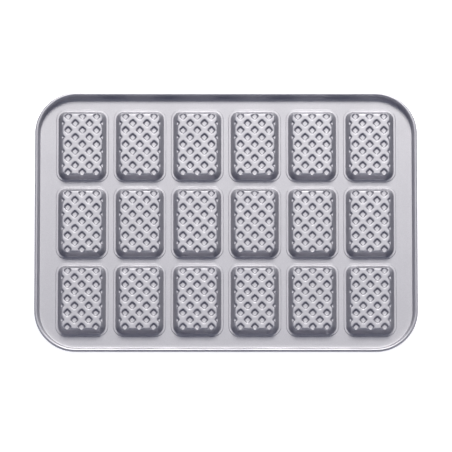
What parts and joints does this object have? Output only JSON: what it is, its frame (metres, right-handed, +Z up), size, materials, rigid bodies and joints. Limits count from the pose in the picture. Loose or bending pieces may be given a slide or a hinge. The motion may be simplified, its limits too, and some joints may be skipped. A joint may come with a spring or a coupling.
{
  "type": "wafer mould",
  "caption": "Shallow coated steel baking sheet with rows of rectangular waffle cups and a rolled wire rim, shown lying face down with the cup bottoms up.",
  "frame": {"origin": "middle of the deck's use face, on the plane that the mould lies on when it is face down", "axes": "+X along the long side, +Y along the short side towards row 1, +Z up from the use face to the closed cup bottoms; for baking the mould is turned by 180 degrees about X"},
  "size_m": [0.3808, 0.2612, 0.0108],
  "materials": {
    "coating": "satin",
    "wire": "satin"
  },
  "bodies": {
    "root": {"deck_sheet": "coating", "rim_wire": "wire", "cup_r1_c1": "coating", "cup_r1_c2": "coating", "cup_r1_c3": "coating", "cup_r1_c4": "coating", "cup_r1_c5": "coating", "cup_r1_c6": "coating", "cup_r2_c1": "coating", "cup_r2_c2": "coating", "cup_r2_c3": "coating", "cup_r2_c4": "coating", "cup_r2_c5": "coating", "cup_r2_c6": "coating", "cup_r3_c1": "coating", "cup_r3_c2": "coating", "cup_r3_c3": "coating", "cup_r3_c4": "coating", "cup_r3_c5": "coating", "cup_r3_c6": "coating"}
  },
  "joints": []
}
